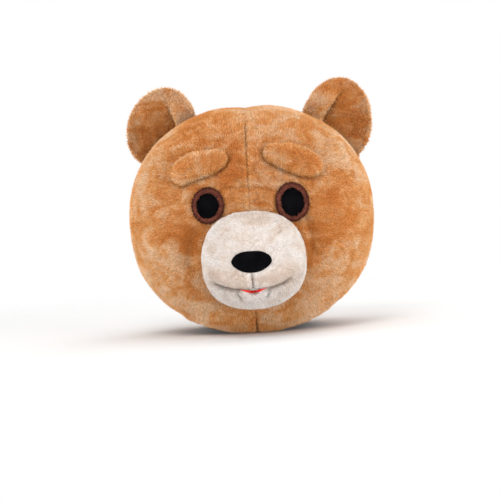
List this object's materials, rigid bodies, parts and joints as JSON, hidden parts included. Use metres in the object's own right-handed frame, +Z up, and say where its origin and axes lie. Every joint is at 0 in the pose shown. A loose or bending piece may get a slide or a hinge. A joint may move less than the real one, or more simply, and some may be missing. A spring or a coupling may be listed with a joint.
{
  "type": "bear mask",
  "caption": "Padded plush bear head worn over the wearer's own head, with a stuffed muzzle, brows and ears and mesh eyes, open at the neck.",
  "frame": {"origin": "under the middle of the whole object, on the surface that the neck rim rests on", "axes": "+Z up, the face looks towards -Y, +X towards the wearer's left"},
  "size_m": [0.4104, 0.4756, 0.4073],
  "materials": {
    "tan_plush": "short mottled tan pile",
    "cream_plush": "short cream pile",
    "brown_plush": "brown felted cloth with a frayed edge",
    "black_mesh": "see-through black net",
    "black_cloth": "smooth black cloth",
    "red_felt": "matte red felt"
  },
  "bodies": {
    "root": {"head_shell": "tan_plush", "muzzle": "cream_plush", "lower_lip": "cream_plush", "mouth_lining": "red_felt", "nose": "black_cloth", "left_eye_ring": "brown_plush", "right_eye_ring": "brown_plush", "left_eye_mesh": "black_mesh", "right_eye_mesh": "black_mesh", "left_brow": "tan_plush", "right_brow": "tan_plush", "left_ear": "tan_plush", "right_ear": "tan_plush"}
  },
  "joints": []
}
